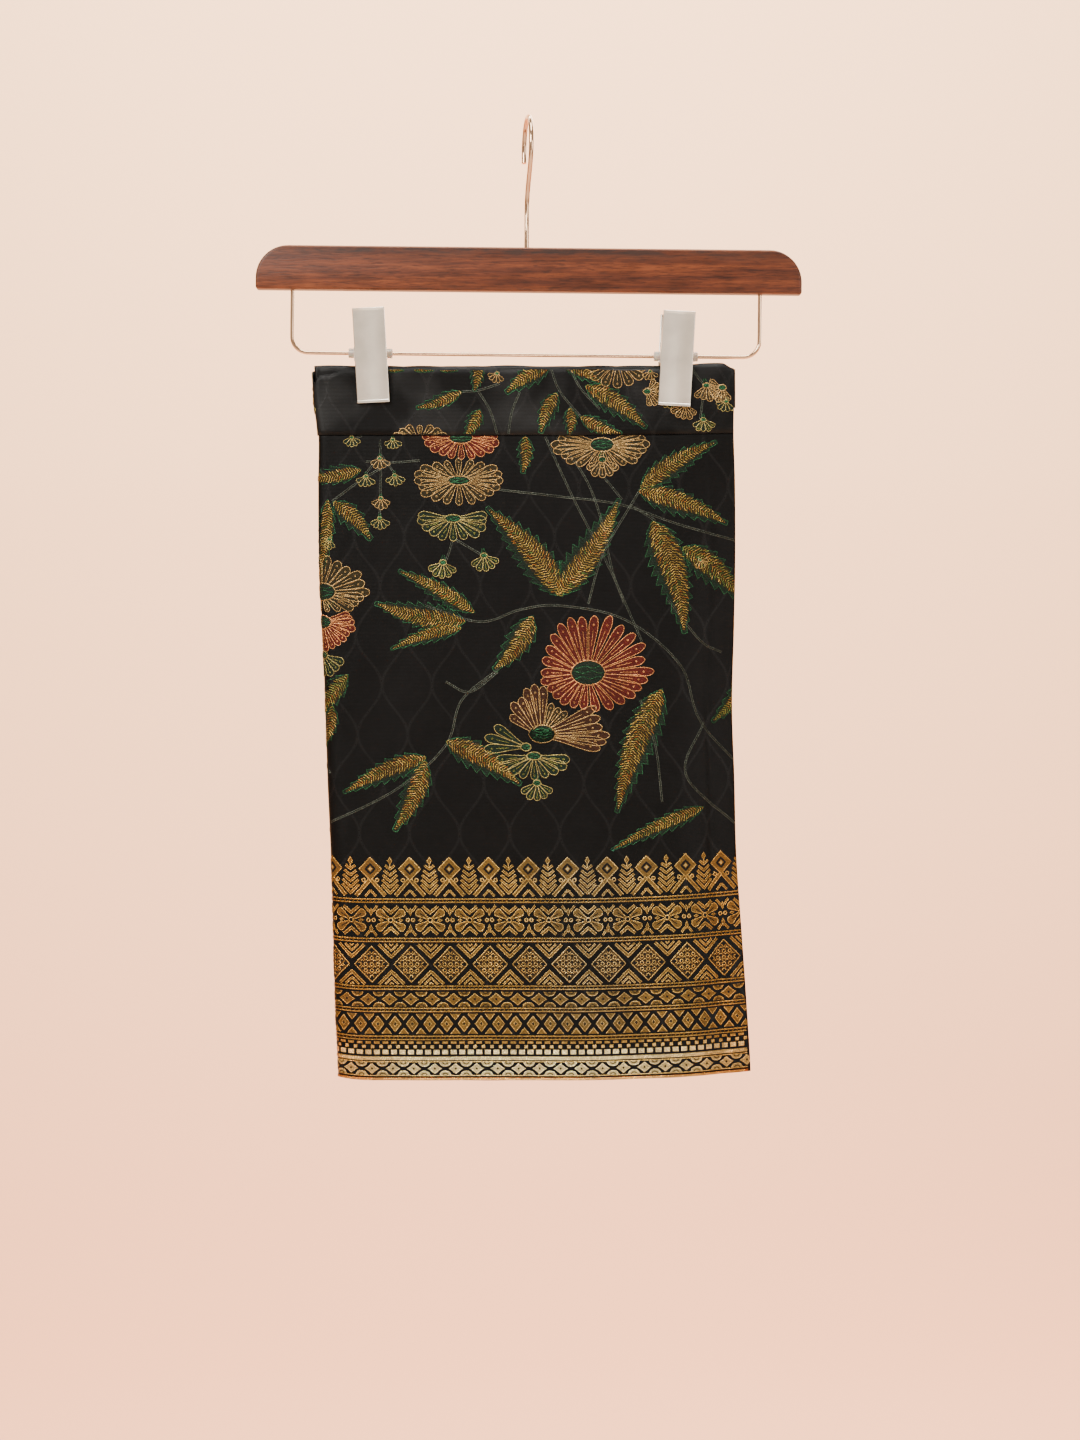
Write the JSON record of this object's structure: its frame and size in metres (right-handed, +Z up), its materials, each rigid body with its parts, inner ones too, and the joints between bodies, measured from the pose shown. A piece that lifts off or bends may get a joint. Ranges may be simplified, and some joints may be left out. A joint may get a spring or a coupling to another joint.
{
  "type": "samping on clip hanger",
  "caption": "Short brocade wrap sarong folded into a flat panel and clipped by its waistband to a wooden hanger with a metal hook.",
  "frame": {"origin": "inside top of the hook, where a rail carries the hanger", "axes": "+Z up, the cloth's front faces -Y, +X to the right seen from the front"},
  "size_m": [0.36, 0.0469, 0.6367],
  "materials": {
    "brocade_ground": "black satin ground with gold, green and rust brocade",
    "brocade_gold": "metallic gold weft, lightly glossy",
    "closure_tape": "matte black hook and loop",
    "hanger_wood": "walnut stain, satin lacquer",
    "hook_wire": "polished warm nickel",
    "frame_wire": "polished nickel",
    "clip_steel": "satin nickel plate",
    "clip_sleeve": "cloudy clear plastic"
  },
  "bodies": {
    "root": {"waistband": "brocade_ground", "body_wrap": "brocade_ground", "closure_tape": "closure_tape", "inner_widths": "brocade_ground", "inner_waistband": "brocade_ground", "hanger_bar": "hanger_wood", "hook": "hook_wire", "frame_wire": "frame_wire", "clip_left_front": "clip_steel", "clip_left_back": "clip_steel", "clip_left_sleeve": "clip_sleeve", "clip_left_spring": "frame_wire", "clip_right_front": "clip_steel", "clip_right_back": "clip_steel", "clip_right_sleeve": "clip_sleeve", "clip_right_spring": "frame_wire"}
  },
  "joints": []
}
